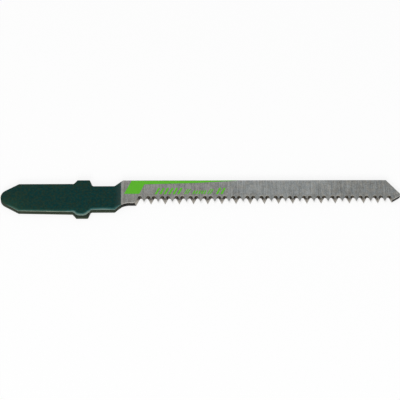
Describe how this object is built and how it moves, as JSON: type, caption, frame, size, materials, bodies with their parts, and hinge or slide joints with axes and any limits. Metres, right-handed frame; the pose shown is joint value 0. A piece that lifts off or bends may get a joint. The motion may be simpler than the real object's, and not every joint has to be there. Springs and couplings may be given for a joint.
{
  "type": "jigsaw blade",
  "caption": "Flat T-shank jigsaw blade with a slim ground body, fine cross-ground unset teeth and a slanted nose, for fine and curved cuts in wood.",
  "frame": {"origin": "on the shank's back face, midway along the lugs, on the centreline of the tang", "axes": "+X along the blade towards its nose, +Y towards its back edge with the teeth pointing to -Y, +Z out of the printed front face. The blade lies on its back face at z = 0."},
  "size_m": [0.0831, 0.0096, 0.0012],
  "materials": {
    "ground_steel": "bare carbon steel, ground across the blade",
    "shank_coating": "thin satin dark green-black hardening and protective coat on the shank",
    "print": "flat green printed ink"
  },
  "bodies": {
    "root": {"blade": "ground_steel"}
  },
  "joints": []
}
